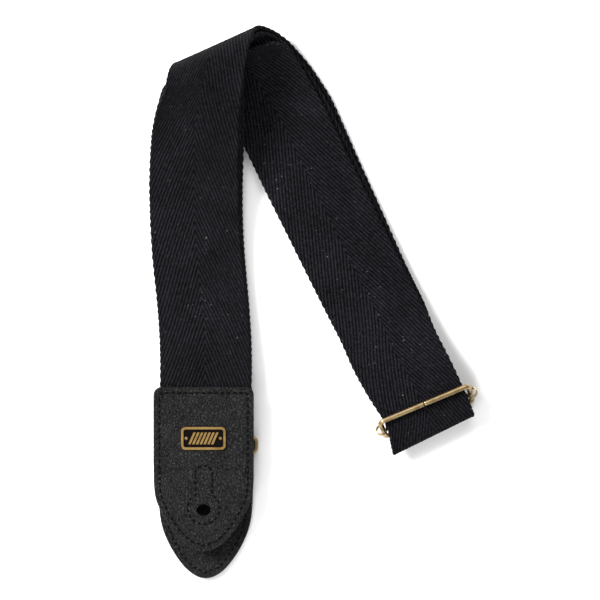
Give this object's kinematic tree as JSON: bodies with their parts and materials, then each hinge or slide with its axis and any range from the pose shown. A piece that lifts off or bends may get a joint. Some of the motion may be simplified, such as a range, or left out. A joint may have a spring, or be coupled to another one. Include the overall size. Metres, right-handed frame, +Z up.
{
  "type": "guitar strap",
  "caption": "Folded webbing guitar strap with leather button-hole ends, a wire ring, a wire slider and a plain metal badge.",
  "frame": {"origin": "centre of the strap's box, on the surface that it lies on", "axes": "+Y from the leather ends towards the top fold, +X towards the slider, +Z up"},
  "size_m": [0.1826, 0.3074, 0.0403],
  "materials": {
    "cotton": "black cotton herringbone webbing, ribbed, matt, with pale lint",
    "leather": "charcoal pebbled leather with a soft sheen",
    "thread": "black sewing thread",
    "brass": "antique brass, polished on its high spots and dark in its hollows"
  },
  "bodies": {
    "strap": {"webbing": "cotton", "front_end_top_leather": "leather", "front_end_back_leather": "leather", "front_end_edge_stitching": "thread", "front_end_keyhole_stitching": "thread", "badge": "brass", "badge_washer": "brass", "webbing_end_seam": "thread"},
    "ring": {"ring": "brass"},
    "rear_end": {"rear_end_top_leather": "leather", "rear_end_back_leather": "leather", "rear_end_edge_stitching": "thread", "rear_end_keyhole_stitching": "thread"},
    "slider_bar": {"slider_bar": "brass"},
    "slider_frame": {"slider_frame": "brass"}
  },
  "joints": [
    {"name": "ring_turn", "type": "hinge", "parent": "strap", "child": "ring", "pos_m": [-0.05969, -0.07533, 0.00391], "axis": [1, 0, 0], "range_deg": [-1.5, 90]},
    {"name": "rear_end_turn", "type": "hinge", "parent": "ring", "child": "rear_end", "pos_m": [-0.05969, -0.08313, 0.00391], "axis": [1, 0, 0], "range_deg": [-1.5, 75]},
    {"name": "slider_turn", "type": "hinge", "parent": "strap", "child": "slider_bar", "pos_m": [0.06292, -0.06027, 0.00982], "axis": [0.9232, 0.3843, 0], "range_deg": [0, 12]},
    {"name": "slider_shift", "type": "slide", "parent": "slider_bar", "child": "slider_frame", "axis": [-0.1901, 0.4567, 0.869], "range_m": [0, 0.002]}
  ]
}
